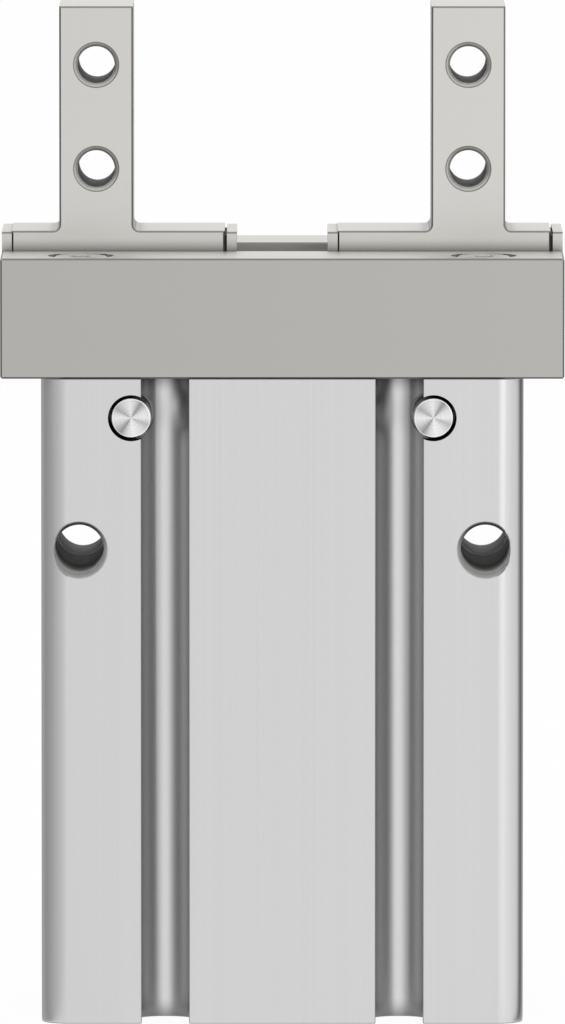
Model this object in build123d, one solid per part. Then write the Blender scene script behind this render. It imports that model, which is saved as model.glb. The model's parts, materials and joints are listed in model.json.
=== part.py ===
from build123d import *
import math
import os

# Pneumatic parallel gripper with two jaws, in millimetres.
# X is the jaws' travel, -Y is the front with the sensor slots, +Z points to the jaws.
# The origin is the centre of the body's bottom face. The rest pose is the open gripper,
# with the piston at the top of its stroke.

# Body: an extruded profile
BODY_WIDTH = 32.56
BODY_DEPTH = 22.0
BODY_HEIGHT = 43.74
BODY_EDGE_R = 1.8

# Sensor slots: a round channel behind two straight lips
SLOT_X = 7.9
SLOT_LIP_WIDTH = 3.2
SLOT_R = 2.0
SLOT_DEPTH = 4.26

# Mounting holes
SIDE_HOLE_X = 13.7
SIDE_HOLE_Z = 32.15
SIDE_HOLE_R = 1.65
SIDE_HOLE_RIM_R = 1.97
SIDE_THREAD_DEPTH = 7.3
SIDE_RELIEF_R = 1.75
BASE_HOLE_X = 13.0
BASE_HOLE_Y = 7.5
BASE_HOLE_R = 1.65
BASE_HOLE_DEPTH = 8.0
HOLE_BREAK = 0.25

# Air ports on the right side
PORT_R = 2.1
PORT_DEPTH = 5.0
UPPER_PORT_DROP = 3.4
LOWER_PORT_RISE = 2.0
AIRWAY_R = 0.6

# Cylinder
BORE_R = 8.0
CENTRING_R = 8.5
CENTRING_DEPTH = 1.2
RING_LAND = 1.0
RING_THICK = 1.0
RING_WIDTH = 1.2
RING_BITE = 0.55
CAP_PULL_R = 1.25
CAP_PULL_DEPTH = 5.0
CAP_SEAL_SIDE = 1.3
CAP_SEAL_DROP = 3.2
CAP_SEAL_BREAK = 0.2
BUMPER_THICK = 1.2
BUMPER_R = 5.6
PARTITION = 6.5

# Piston and rod
PISTON_LENGTH = 12.5
PISTON_SPLIT = 5.0
MAGNET_HEIGHT = 2.8
MAGNET_BORE_R = 5.2
SEAL_HEIGHT = 2.2
SEAL_ROOT_R = 6.0
SEAL_LAND = 0.8
GUIDE_RING_HEIGHT = 1.2
GUIDE_RING_THICK = 0.8
ROD_R = 2.5
ROD_SPIGOT_R = 2.0
ROD_THREAD_R = 1.25
PISTON_HEAD_R = 2.25
PISTON_HEAD_HEIGHT = 2.5
PISTON_HEX = 2.0
PISTON_SCREW_LENGTH = 7.5

# Rod bearing and rod seal in the partition
ROD_BUSH_LENGTH = 2.9
ROD_BUSH_WALL = 1.0
ROD_SEAL_HEIGHT = 2.1
ROD_SEAL_WALL = 1.9
RETAINER_THICK = 0.9
RETAINER_WALL = 2.3

# Drive: spool on the rod, two bell cranks on pins
JAW_TRAVEL = 3.0
PIVOT_X = 10.19
PIVOT_DROP = 2.66
LEVER_UP = 7.7
LEVER_IN = 7.0
LEVER_THICK = 4.6
HUB_R = 2.6
NOSE_UP_R = 1.2
NOSE_IN_R = 0.9
ARM_UP_TIP = 0.9
ARM_IN_TIP = 0.6
ARM_ROOT = 1.7
NECK_LENGTH = 1.35
PIN_R = 1.345
PIN_INSET = 0.15
PIN_MOUTH_R = 1.56
PIN_MOUTH_DEPTH = 4.6
PIN_EDGE = 0.05
LEVER_BUSH_WALL = 0.48
SPOOL_CORE_R = 2.1
SPOOL_FLANGE_R = 4.3
SPOOL_FLANGE_THICK = 0.9
CAVITY_DEPTH = 7.1

# Guide block and its screws
BLOCK_LENGTH = 38.0
BLOCK_HEIGHT = 8.12
BLOCK_FLOOR = 1.8
BLOCK_SCREW_X = 13.6
BLOCK_SCREW_INSET = 2.8
SCREW_R = 1.0
SCREW_HEAD_R = 1.9
SCREW_HEAD_HEIGHT = 2.0
SCREW_HEX = 1.5
SCREW_SINK = 0.02
SCREW_THREAD_DEPTH = 5.5
COUNTERBORE_R = 2.22

# Jaws
JAW_DEPTH = 8.0
CLOSED_GAP = 0.08
JAW_RISE = 1.37
JAW_TOP_RISE = 16.6
FINGER_X = 12.6
FINGER_WIDTH = 5.0
FINGER_FILLET = 0.42
FINGER_HOLE_R = 1.25
FINGER_HOLE_RIM_R = 1.52
FINGER_HOLE_TOP = 3.97
FINGER_HOLE_PITCH = 7.05
POCKET_HEIGHT = 4.4
PLATE_THICK = 0.67
PLATE_DROP = 0.07
WIPER_THICK = 0.15
WIPER_INSET = 0.25
PLATE_SCREW_R = 0.6
PLATE_SCREW_HEAD_R = 1.1
PLATE_SCREW_LENGTH = 3.0
PLATE_SCREW_Z = (1.5, 5.7)

# Ball guide
BALL_R = 1.0
BALL_COUNT = 4
BALL_PITCH = 2.12
RACE_RISE = 3.1

# Clearances
EDGE_BREAK = 0.12
RUNNING = 0.03
SLIDE = 0.05
SEAT = 0.02
LOOSE = 0.2
CAVITY_SIDE = 0.15

# Motion worked out from the levers
SWING = math.asin(JAW_TRAVEL / 2 / LEVER_UP)
PISTON_TRAVEL = 2 * LEVER_IN * math.sin(SWING)
NOSE_OUT = LEVER_UP * math.sin(SWING)
NOSE_RISE = LEVER_UP * math.cos(SWING)
INNER_REACH = LEVER_IN * math.cos(SWING)
INNER_RISE = LEVER_IN * math.sin(SWING)

# Heights of the faces along the axis
BLOCK_BOTTOM = BODY_HEIGHT
BLOCK_TOP = BLOCK_BOTTOM + BLOCK_HEIGHT
CHANNEL_FLOOR = BLOCK_BOTTOM + BLOCK_FLOOR
JAW_BOTTOM = CHANNEL_FLOOR + 2 * SLIDE
JAW_SHOULDER = BLOCK_TOP + JAW_RISE
JAW_TOP = BLOCK_TOP + JAW_TOP_RISE
RACE_Z = JAW_BOTTOM + RACE_RISE
PIVOT_Z = BODY_HEIGHT - PIVOT_DROP
CAVITY_FLOOR = BODY_HEIGHT - CAVITY_DEPTH
BORE_TOP = CAVITY_FLOOR - PARTITION
PISTON_TOP = BORE_TOP - BUMPER_THICK - 2 * SLIDE
PISTON_BOTTOM = PISTON_TOP - PISTON_LENGTH
CAP_TOP = PISTON_BOTTOM - PISTON_TRAVEL - 2 * SLIDE - BUMPER_THICK
CAP_BOTTOM = CENTRING_DEPTH + RING_LAND + RING_THICK + 2 * SLIDE
GROOVE_Z = PIVOT_Z + INNER_RISE
GROOVE_HALF = NOSE_IN_R + SLIDE
SPOOL_BOTTOM = GROOVE_Z - GROOVE_HALF - SPOOL_FLANGE_THICK
SPOOL_TOP = GROOVE_Z + GROOVE_HALF + SPOOL_FLANGE_THICK

# Places across the axis
FRONT_Y = -BODY_DEPTH / 2
BACK_Y = BODY_DEPTH / 2
CHANNEL_HALF = JAW_DEPTH / 2 + SLIDE
RACE_Y = JAW_DEPTH / 2 + SLIDE / 2
BLOCK_SCREW_Y = BODY_DEPTH / 2 - BLOCK_SCREW_INSET
SLOT_CENTRE_Y = FRONT_Y + SLOT_DEPTH - SLOT_R
PLATE_OUTER_X = BLOCK_LENGTH / 2
PLATE_INNER_X = JAW_TRAVEL + CLOSED_GAP
JAW_BASE_LENGTH = PLATE_OUTER_X - PLATE_INNER_X - 2 * PLATE_THICK - WIPER_THICK


def upright(radius, z_low, z_high, x=0.0, y=0.0):
    """A cylinder along Z."""
    shape = Cylinder(radius, z_high - z_low, align=(Align.CENTER, Align.CENTER, Align.MIN))
    return Pos(x, y, z_low) * shape


def along_y(radius, y_low, y_high, x, z):
    """A cylinder along Y."""
    shape = Cylinder(radius, y_high - y_low, align=(Align.CENTER, Align.CENTER, Align.MIN))
    return Pos(x, y_low, z) * Rot(-90, 0, 0) * shape


def along_x(radius, x_low, x_high, y, z):
    """A cylinder along X."""
    shape = Cylinder(radius, x_high - x_low, align=(Align.CENTER, Align.CENTER, Align.MIN))
    return Pos(x_low, y, z) * Rot(0, 90, 0) * shape


def block(x_low, x_high, y_low, y_high, z_low, z_high):
    """A box between six planes."""
    middle = Pos((x_low + x_high) / 2, (y_low + y_high) / 2, (z_low + z_high) / 2)
    return middle * Box(x_high - x_low, y_high - y_low, z_high - z_low)


def turned(*points):
    """A ring or shaft turned about Z from its half section, given as radius and height."""
    return revolve(make_face(Plane.XZ * Polyline(*points, close=True)), Axis.Z)


def mouth(hole_r, rim_r):
    """A 45 degree countersink whose rim lies at the origin and which narrows along +Z."""
    depth = rim_r - hole_r
    return Cone(rim_r, hole_r, depth, align=(Align.CENTER, Align.CENTER, Align.MIN))


def mouths_along_y(hole_r, rim_r, y_front, y_back, x, z):
    """Countersinks at both ends of a hole along Y."""
    front = Pos(x, y_front, z) * Rot(-90, 0, 0) * mouth(hole_r, rim_r)
    back = Pos(x, y_back, z) * Rot(90, 0, 0) * mouth(hole_r, rim_r)
    return front + back


def hex_socket(across_flats, depth, z_top):
    """A hexagonal recess that opens upwards at z_top."""
    outline = RegularPolygon(across_flats / 2, 6, major_radius=False)
    return Pos(0, 0, z_top - depth) * extrude(outline, depth)


def body_profile():
    """The extruded section: a rounded rectangle with two keyhole slots in the front."""
    outline = RectangleRounded(BODY_WIDTH, BODY_DEPTH, BODY_EDGE_R)
    for x in (-SLOT_X, SLOT_X):
        lip_length = SLOT_CENTRE_Y - FRONT_Y
        outline -= Pos(x, FRONT_Y + lip_length / 2) * Rectangle(SLOT_LIP_WIDTH, lip_length)
        outline -= Pos(x, SLOT_CENTRE_Y) * Circle(SLOT_R)
    return outline


def cylinder_cuts():
    """The centring recess, the bore and the groove for the retaining ring."""
    cuts = upright(CENTRING_R, 0, CENTRING_DEPTH)
    cuts += upright(BORE_R, 0, BORE_TOP)
    groove_low = CENTRING_DEPTH + RING_LAND
    cuts += upright(BORE_R + RING_BITE + SLIDE, groove_low, CAP_BOTTOM)
    return cuts


def partition_cuts():
    """The stepped hole for the rod's seal and bush between cylinder and levers."""
    seal_low = BORE_TOP + RETAINER_THICK
    cuts = upright(ROD_R + RETAINER_WALL, BORE_TOP, seal_low)
    cuts += upright(ROD_R + ROD_SEAL_WALL, BORE_TOP, seal_low + ROD_SEAL_HEIGHT + SLIDE)
    cuts += upright(ROD_R + LOOSE, BORE_TOP, CAVITY_FLOOR)
    cuts += upright(ROD_R + ROD_BUSH_WALL, CAVITY_FLOOR - ROD_BUSH_LENGTH, CAVITY_FLOOR)
    return cuts


def lever_cavity():
    """The pocket that holds the levers and the spool, open at the body's top."""
    half_width = LEVER_THICK / 2 + CAVITY_SIDE
    reach = PIVOT_X + HUB_R + 2 * LOOSE
    cavity = block(-reach, reach, -half_width, half_width, CAVITY_FLOOR, BODY_HEIGHT)
    cavity += upright(SPOOL_FLANGE_R + 2 * LOOSE, CAVITY_FLOOR, BODY_HEIGHT)
    return cavity


def pivot_holes():
    """The pin holes, with a wider mouth at the front and at the back."""
    holes = None
    for x in (-PIVOT_X, PIVOT_X):
        hole = along_y(PIN_R + SEAT, FRONT_Y, BACK_Y, x, PIVOT_Z)
        hole += along_y(PIN_MOUTH_R, FRONT_Y, FRONT_Y + PIN_MOUTH_DEPTH, x, PIVOT_Z)
        hole += along_y(PIN_MOUTH_R, BACK_Y - PIN_MOUTH_DEPTH, BACK_Y, x, PIVOT_Z)
        holes = hole if holes is None else holes + hole
    return holes


def side_holes():
    """The mounting holes from front to back, threaded at both ends and relieved between."""
    holes = None
    for x in (-SIDE_HOLE_X, SIDE_HOLE_X):
        hole = along_y(SIDE_HOLE_R, FRONT_Y, BACK_Y, x, SIDE_HOLE_Z)
        relief_y = BODY_DEPTH / 2 - SIDE_THREAD_DEPTH
        hole += along_y(SIDE_RELIEF_R, -relief_y, relief_y, x, SIDE_HOLE_Z)
        hole += mouths_along_y(SIDE_HOLE_R, SIDE_HOLE_RIM_R, FRONT_Y, BACK_Y, x, SIDE_HOLE_Z)
        holes = hole if holes is None else holes + hole
    return holes


def base_holes():
    """Four threaded holes in the bottom."""
    holes = None
    for x in (-BASE_HOLE_X, BASE_HOLE_X):
        for y in (-BASE_HOLE_Y, BASE_HOLE_Y):
            hole = upright(BASE_HOLE_R, 0, BASE_HOLE_DEPTH, x, y)
            hole += Pos(x, y, 0) * mouth(BASE_HOLE_R, BASE_HOLE_R + HOLE_BREAK)
            holes = hole if holes is None else holes + hole
    return holes


def air_port(port_z, chamber_z):
    """A port in the right side, with a slanting airway into the cylinder at chamber_z."""
    side_x = BODY_WIDTH / 2
    inner_x = side_x - PORT_DEPTH
    port = along_x(PORT_R, inner_x, side_x, 0, port_z)
    port += Pos(side_x, 0, port_z) * Rot(0, -90, 0) * mouth(PORT_R, PORT_R + HOLE_BREAK)
    start = Vector(inner_x + AIRWAY_R, 0, port_z)
    end = Vector(BORE_R - AIRWAY_R, 0, chamber_z)
    path = end - start
    airway = Cylinder(AIRWAY_R, path.length, align=(Align.CENTER, Align.CENTER, Align.MIN))
    return port + Plane(start, z_dir=path) * airway


def screw_places():
    """Centres of the guide block's four screws."""
    return [(x, y) for x in (-BLOCK_SCREW_X, BLOCK_SCREW_X) for y in (-BLOCK_SCREW_Y, BLOCK_SCREW_Y)]


def make_housing():
    housing = extrude(body_profile(), BODY_HEIGHT)
    housing -= cylinder_cuts()
    housing -= partition_cuts()
    housing -= lever_cavity()
    housing -= pivot_holes()
    housing -= side_holes()
    housing -= base_holes()
    housing -= air_port(PISTON_TOP - UPPER_PORT_DROP, BORE_TOP - AIRWAY_R)
    housing -= air_port(CAP_TOP + LOWER_PORT_RISE, CAP_TOP + AIRWAY_R)
    for x, y in screw_places():
        housing -= upright(SCREW_R, BODY_HEIGHT - SCREW_THREAD_DEPTH, BODY_HEIGHT, x, y)
    return housing


def lever_slot_half():
    """Half length of the slot in the block's floor that a lever swings in."""
    share = (CHANNEL_FLOOR - PIVOT_Z) / NOSE_RISE
    arm_half = ARM_ROOT + (ARM_UP_TIP - ARM_ROOT) * share
    return NOSE_OUT * share + arm_half + LOOSE


def make_guide_block():
    shape = block(-BLOCK_LENGTH / 2, BLOCK_LENGTH / 2, FRONT_Y, BACK_Y, BLOCK_BOTTOM, BLOCK_TOP)
    shape = chamfer(shape.edges(), EDGE_BREAK)
    end_x = BLOCK_LENGTH / 2
    shape -= block(-end_x, end_x, -CHANNEL_HALF, CHANNEL_HALF, CHANNEL_FLOOR, BLOCK_TOP)
    lips = shape.faces().sort_by(Axis.Z)[-2:].edges().filter_by(Axis.X)
    shape = chamfer(lips.filter_by(lambda edge: abs(edge.center().Y) < CHANNEL_HALF + SEAT), EDGE_BREAK)
    slot_half = lever_slot_half()
    slot_side = LEVER_THICK / 2 + CAVITY_SIDE
    for side in (-1, 1):
        shape -= along_x(BALL_R + RUNNING, -end_x, end_x, side * RACE_Y, RACE_Z)
        x_low = side * PIVOT_X - slot_half
        x_high = side * PIVOT_X + slot_half
        shape -= block(x_low, x_high, -slot_side, slot_side, BLOCK_BOTTOM, CHANNEL_FLOOR)
    shape -= upright(SPOOL_FLANGE_R + LOOSE, BLOCK_BOTTOM, SPOOL_TOP + LOOSE)
    head_seat = BLOCK_TOP - SCREW_HEAD_HEIGHT - SCREW_SINK
    for x, y in screw_places():
        shape -= upright(SCREW_R + LOOSE, BLOCK_BOTTOM, BLOCK_TOP, x, y)
        shape -= upright(COUNTERBORE_R, head_seat, BLOCK_TOP, x, y)
    return shape


def cap_screw(shank_r, shank_length, head_r, head_height, across_flats):
    """A socket head cap screw, head up, with the underside of its head at the origin."""
    head = upright(head_r, 0, head_height)
    head = chamfer(head.edges().group_by(Axis.Z)[-1], head_height / 10)
    shank = upright(shank_r, -shank_length, 0)
    shank = chamfer(shank.edges().group_by(Axis.Z)[0], shank_r / 4)
    return head + shank - hex_socket(across_flats, head_height / 2, head_height)


def make_guide_screws():
    head_seat = BLOCK_TOP - SCREW_HEAD_HEIGHT - SCREW_SINK
    shank_length = head_seat - BODY_HEIGHT + SCREW_THREAD_DEPTH - LOOSE
    screw = cap_screw(SCREW_R, shank_length, SCREW_HEAD_R, SCREW_HEAD_HEIGHT, SCREW_HEX)
    return Compound(children=[Pos(x, y, head_seat) * screw for x, y in screw_places()])


def make_pivot_pin(side):
    pin = along_y(PIN_R, FRONT_Y + PIN_INSET, BACK_Y - PIN_INSET, side * PIVOT_X, PIVOT_Z)
    return chamfer(pin.edges().filter_by(GeomType.CIRCLE), PIN_EDGE)


def make_rod_bush():
    low = CAVITY_FLOOR - ROD_BUSH_LENGTH
    return turned(
        (ROD_R + RUNNING, low),
        (ROD_R + ROD_BUSH_WALL, low),
        (ROD_R + ROD_BUSH_WALL, CAVITY_FLOOR),
        (ROD_R + RUNNING, CAVITY_FLOOR),
    )


def lip_seal(inner_r, outer_r, z_low, height):
    """A U-shaped ring seal, its groove open downwards."""
    third = (outer_r - inner_r) / 3
    return turned(
        (inner_r, z_low),
        (inner_r + third, z_low),
        (inner_r + 1.5 * third, z_low + height / 2),
        (outer_r - third, z_low),
        (outer_r, z_low),
        (outer_r, z_low + height),
        (inner_r, z_low + height),
    )


def make_rod_seal():
    low = BORE_TOP + RETAINER_THICK
    return lip_seal(ROD_R + SEAT, ROD_R + ROD_SEAL_WALL, low, ROD_SEAL_HEIGHT)


def make_seal_retainer():
    high = BORE_TOP + RETAINER_THICK
    return turned(
        (ROD_R + LOOSE, BORE_TOP),
        (ROD_R + RETAINER_WALL, BORE_TOP),
        (ROD_R + RETAINER_WALL, high),
        (ROD_R + LOOSE, high),
    )


def bumper(z_low):
    """A flat elastic ring that stops the piston."""
    ring = upright(BUMPER_R, z_low, z_low + BUMPER_THICK)
    ring -= upright(ROD_R + LOOSE, z_low, z_low + BUMPER_THICK)
    return chamfer(ring.edges(), EDGE_BREAK)


def make_end_cap():
    groove_low = CAP_TOP - CAP_SEAL_DROP
    groove_high = groove_low + CAP_SEAL_SIDE + LOOSE
    outer = BORE_R - RUNNING
    groove_root = outer - CAP_SEAL_SIDE
    cap = turned(
        (0, CAP_BOTTOM),
        (outer - EDGE_BREAK, CAP_BOTTOM),
        (outer, CAP_BOTTOM + EDGE_BREAK),
        (outer, groove_low),
        (groove_root, groove_low),
        (groove_root, groove_high),
        (outer, groove_high),
        (outer, CAP_TOP - 2 * EDGE_BREAK),
        (outer - 2 * EDGE_BREAK, CAP_TOP),
        (0, CAP_TOP),
    )
    cap -= upright(CAP_PULL_R, CAP_BOTTOM, CAP_BOTTOM + CAP_PULL_DEPTH)
    cap -= Pos(0, 0, CAP_BOTTOM) * mouth(CAP_PULL_R, CAP_PULL_R + HOLE_BREAK)
    return cap


def make_cap_seal_ring():
    """A ring of square section with broken outer corners, in the end cap's groove."""
    low = CAP_TOP - CAP_SEAL_DROP + LOOSE / 2
    high = low + CAP_SEAL_SIDE
    outer = BORE_R - RUNNING
    return turned(
        (outer - CAP_SEAL_SIDE, low),
        (outer - CAP_SEAL_BREAK, low),
        (outer, low + CAP_SEAL_BREAK),
        (outer, high - CAP_SEAL_BREAK),
        (outer - CAP_SEAL_BREAK, high),
        (outer - CAP_SEAL_SIDE, high),
    )


def make_retaining_ring():
    """An internal circlip with a gap and two lugs with eyes."""
    low = CENTRING_DEPTH + RING_LAND + SLIDE
    high = low + RING_THICK
    outer = BORE_R + RING_BITE
    lug_r = RING_WIDTH * 0.8
    lug_angle = math.radians(16)
    lug_centre_r = outer - RING_WIDTH - lug_r / 2
    ring = upright(outer, low, high) - upright(outer - RING_WIDTH, low, high)
    gap_half = lug_centre_r * math.sin(lug_angle) - lug_r / 2
    ring -= block(-gap_half, gap_half, 0, outer, low, high)
    for side in (-1, 1):
        x = side * lug_centre_r * math.sin(lug_angle)
        y = lug_centre_r * math.cos(lug_angle)
        ring += upright(lug_r, low, high, x, y)
        ring -= upright(lug_r / 2, low, high, x, y)
    return ring


def make_piston_lower():
    outer = BORE_R - SLIDE
    seal_low = PISTON_BOTTOM + SEAL_LAND
    split = PISTON_BOTTOM + PISTON_SPLIT
    guide_high = split - SEAL_LAND / 2
    guide_low = guide_high - GUIDE_RING_HEIGHT
    piston = upright(outer, PISTON_BOTTOM, split)
    piston -= groove_ring(SEAL_ROOT_R, outer, seal_low, seal_low + SEAL_HEIGHT)
    piston -= groove_ring(outer - GUIDE_RING_THICK, outer, guide_low, guide_high)
    piston -= upright(PISTON_HEAD_R + LOOSE, PISTON_BOTTOM, PISTON_BOTTOM + PISTON_HEAD_HEIGHT + LOOSE)
    piston -= upright(ROD_THREAD_R + LOOSE, PISTON_BOTTOM, split)
    return piston


def groove_ring(root_r, outer_r, z_low, z_high):
    """The ring of material that a groove takes from a shaft, cut past its surface."""
    return upright(outer_r + LOOSE, z_low, z_high) - upright(root_r, z_low, z_high)


def make_piston_upper():
    outer = BORE_R - SLIDE
    split = PISTON_BOTTOM + PISTON_SPLIT
    flange_low = split + MAGNET_HEIGHT
    seal_high = PISTON_TOP - SEAL_LAND
    piston = upright(MAGNET_BORE_R, split, flange_low) + upright(outer, flange_low, PISTON_TOP)
    piston -= groove_ring(SEAL_ROOT_R, outer, seal_high - SEAL_HEIGHT, seal_high)
    piston -= upright(ROD_SPIGOT_R + SEAT, split, PISTON_TOP)
    return piston


def make_piston_magnet():
    low = PISTON_BOTTOM + PISTON_SPLIT
    high = low + MAGNET_HEIGHT
    return upright(BORE_R - LOOSE, low, high) - upright(MAGNET_BORE_R, low, high)


def make_piston_guide_ring():
    high = PISTON_BOTTOM + PISTON_SPLIT - SEAL_LAND / 2
    low = high - GUIDE_RING_HEIGHT
    root = BORE_R - SLIDE - GUIDE_RING_THICK
    return upright(BORE_R - SEAT, low, high) - upright(root, low, high)


def make_piston_seal_upper():
    high = PISTON_TOP - SEAL_LAND
    seal = lip_seal(SEAL_ROOT_R, BORE_R - SEAT, -high, SEAL_HEIGHT)
    return Rot(180, 0, 0) * seal


def make_piston_seal_lower():
    low = PISTON_BOTTOM + SEAL_LAND
    return lip_seal(SEAL_ROOT_R, BORE_R - SEAT, low, SEAL_HEIGHT)


def make_piston_rod():
    """Rod with a spigot in the piston and a threaded stud for the spool."""
    spigot_low = PISTON_BOTTOM + PISTON_SPLIT + 2 * LOOSE
    stud_high = GROOVE_Z + GROOVE_HALF
    rod = turned(
        (0, spigot_low),
        (ROD_SPIGOT_R, spigot_low),
        (ROD_SPIGOT_R, PISTON_TOP),
        (ROD_R, PISTON_TOP),
        (ROD_R, SPOOL_BOTTOM),
        (ROD_THREAD_R, SPOOL_BOTTOM),
        (ROD_THREAD_R, stud_high),
        (0, stud_high),
    )
    screw_top = PISTON_BOTTOM + PISTON_HEAD_HEIGHT + LOOSE + PISTON_SCREW_LENGTH
    return rod - upright(ROD_THREAD_R, spigot_low, screw_top + LOOSE)


def make_piston_screw():
    screw = cap_screw(ROD_THREAD_R, PISTON_SCREW_LENGTH, PISTON_HEAD_R, PISTON_HEAD_HEIGHT, PISTON_HEX)
    return Pos(0, 0, PISTON_BOTTOM + PISTON_HEAD_HEIGHT + LOOSE) * Rot(180, 0, 0) * screw


def make_drive_spool():
    """The grooved head on the rod that swings both levers."""
    groove_low = GROOVE_Z - GROOVE_HALF
    groove_high = GROOVE_Z + GROOVE_HALF
    edge = SPOOL_FLANGE_R - EDGE_BREAK
    spool = turned(
        (0, SPOOL_BOTTOM),
        (edge, SPOOL_BOTTOM),
        (SPOOL_FLANGE_R, SPOOL_BOTTOM + EDGE_BREAK),
        (SPOOL_FLANGE_R, groove_low),
        (SPOOL_CORE_R, groove_low),
        (SPOOL_CORE_R, groove_high),
        (SPOOL_FLANGE_R, groove_high),
        (SPOOL_FLANGE_R, SPOOL_TOP - EDGE_BREAK),
        (edge, SPOOL_TOP),
        (0, SPOOL_TOP),
    )
    return spool - upright(ROD_THREAD_R + SEAT, SPOOL_BOTTOM, groove_high + LOOSE)


def arm(start, start_half, end, end_half):
    """A tapered bar between two points of the XZ plane."""
    run = Vector(end[0] - start[0], end[1] - start[1])
    across = Vector(-run.Y, run.X).normalized()
    corners = [
        (start[0] + across.X * start_half, start[1] + across.Y * start_half),
        (end[0] + across.X * end_half, end[1] + across.Y * end_half),
        (end[0] - across.X * end_half, end[1] - across.Y * end_half),
        (start[0] - across.X * start_half, start[1] - across.Y * start_half),
    ]
    return make_face(Polyline(*corners, close=True))


def make_lever(side):
    """A bell crank: hub on the pin, one nose up in the jaw, one nose inwards in the spool."""
    pivot = (side * PIVOT_X, PIVOT_Z)
    nose_up = (side * (PIVOT_X + NOSE_OUT), PIVOT_Z + NOSE_RISE)
    nose_in = (side * (PIVOT_X - INNER_REACH), PIVOT_Z + INNER_RISE)
    share = NECK_LENGTH / LEVER_IN
    neck = (
        nose_in[0] + (pivot[0] - nose_in[0]) * share,
        nose_in[1] + (pivot[1] - nose_in[1]) * share,
    )
    outline = Pos(*pivot) * Circle(HUB_R)
    outline += Pos(*nose_up) * Circle(NOSE_UP_R)
    outline += Pos(*nose_in) * Circle(NOSE_IN_R)
    outline += arm(pivot, ARM_ROOT, nose_up, ARM_UP_TIP)
    outline += arm(pivot, ARM_ROOT, neck, ARM_IN_TIP)
    outline += arm(neck, ARM_IN_TIP, nose_in, ARM_IN_TIP)
    outline -= Pos(*pivot) * Circle(PIN_R + RUNNING + LEVER_BUSH_WALL)
    return extrude(Plane.XZ * outline, LEVER_THICK / 2, both=True)


def make_lever_bush(side):
    half = LEVER_THICK / 2
    outer = PIN_R + RUNNING + LEVER_BUSH_WALL
    bush = along_y(outer, -half, half, side * PIVOT_X, PIVOT_Z)
    return bush - along_y(PIN_R + RUNNING, -half, half, side * PIVOT_X, PIVOT_Z)


def base_span(side):
    """Low and high X of a jaw's base. Both jaws are the same piece, so both wipers face +X."""
    if side > 0:
        high = PLATE_OUTER_X - PLATE_THICK - WIPER_THICK
        return high - JAW_BASE_LENGTH, high
    low = -PLATE_OUTER_X + PLATE_THICK
    return low, low + JAW_BASE_LENGTH


def finger_hole_heights():
    upper = JAW_TOP - FINGER_HOLE_TOP
    return [upper, upper - FINGER_HOLE_PITCH]


def lever_pocket(side):
    """The slot in the jaw's underside that the lever's upper nose works in."""
    x = side * (PIVOT_X + NOSE_OUT)
    half = NOSE_UP_R + SLIDE
    flare_top = PIVOT_Z + NOSE_RISE - NOSE_UP_R / 2
    flare = (flare_top - JAW_BOTTOM) * math.tan(SWING) * 2
    top = JAW_BOTTOM + POCKET_HEIGHT
    outline = make_face(
        Polyline(
            (x - half - flare, JAW_BOTTOM),
            (x - half, flare_top),
            (x - half, top),
            (x + half, top),
            (x + half, flare_top),
            (x + half + flare, JAW_BOTTOM),
            close=True,
        )
    )
    return extrude(Plane.XZ * outline, LEVER_THICK / 2 + CAVITY_SIDE, both=True)


def plate_screw_heights():
    return [JAW_BOTTOM + rise for rise in PLATE_SCREW_Z]


def make_jaw(side):
    """A T-shaped jaw: base in the guide block's channel, finger with two threaded holes."""
    low, high = base_span(side)
    half = JAW_DEPTH / 2
    finger_low = side * FINGER_X - FINGER_WIDTH / 2
    finger_high = side * FINGER_X + FINGER_WIDTH / 2
    outline = make_face(
        Polyline(
            (low, JAW_BOTTOM),
            (high, JAW_BOTTOM),
            (high, JAW_SHOULDER),
            (finger_high, JAW_SHOULDER),
            (finger_high, JAW_TOP),
            (finger_low, JAW_TOP),
            (finger_low, JAW_SHOULDER),
            (low, JAW_SHOULDER),
            close=True,
        )
    )
    roots = [v for v in outline.vertices() if abs(v.X - side * FINGER_X) < FINGER_WIDTH]
    roots = [v for v in roots if abs(v.Y - JAW_SHOULDER) < SEAT]
    outline = fillet(roots, FINGER_FILLET)
    jaw = extrude(Plane.XZ * outline, half, both=True)
    rims = [face for face in jaw.faces() if abs(face.normal_at().Y) > 0.9]
    jaw = chamfer([edge for face in rims for edge in face.edges()], EDGE_BREAK)
    for z in finger_hole_heights():
        x = side * FINGER_X
        jaw -= along_y(FINGER_HOLE_R, -half, half, x, z)
        jaw -= mouths_along_y(FINGER_HOLE_R, FINGER_HOLE_RIM_R, -half, half, x, z)
    jaw -= lever_pocket(side)
    for race_side in (-1, 1):
        jaw -= along_x(BALL_R + RUNNING, low, high, race_side * RACE_Y, RACE_Z)
    for z in plate_screw_heights():
        jaw -= along_x(PLATE_SCREW_R, low, low + PLATE_SCREW_LENGTH, 0, z)
        jaw -= along_x(PLATE_SCREW_R, high - PLATE_SCREW_LENGTH, high, 0, z)
    return jaw


def plate_span(side, end):
    """Low and high X of a jaw's end plate. end is +1 for the outer plate, -1 for the inner."""
    low, high = base_span(side)
    if side * end > 0:
        return high + WIPER_THICK, high + WIPER_THICK + PLATE_THICK
    return low - PLATE_THICK, low


def make_plate(side, end):
    low, high = plate_span(side, end)
    half = JAW_DEPTH / 2
    plate = block(low, high, -half, half, JAW_BOTTOM, JAW_SHOULDER - PLATE_DROP)
    plate = chamfer(plate.edges().filter_by(Axis.X), EDGE_BREAK)
    for z in plate_screw_heights():
        plate -= plate_screw(side, end, z)
    return plate


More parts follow.
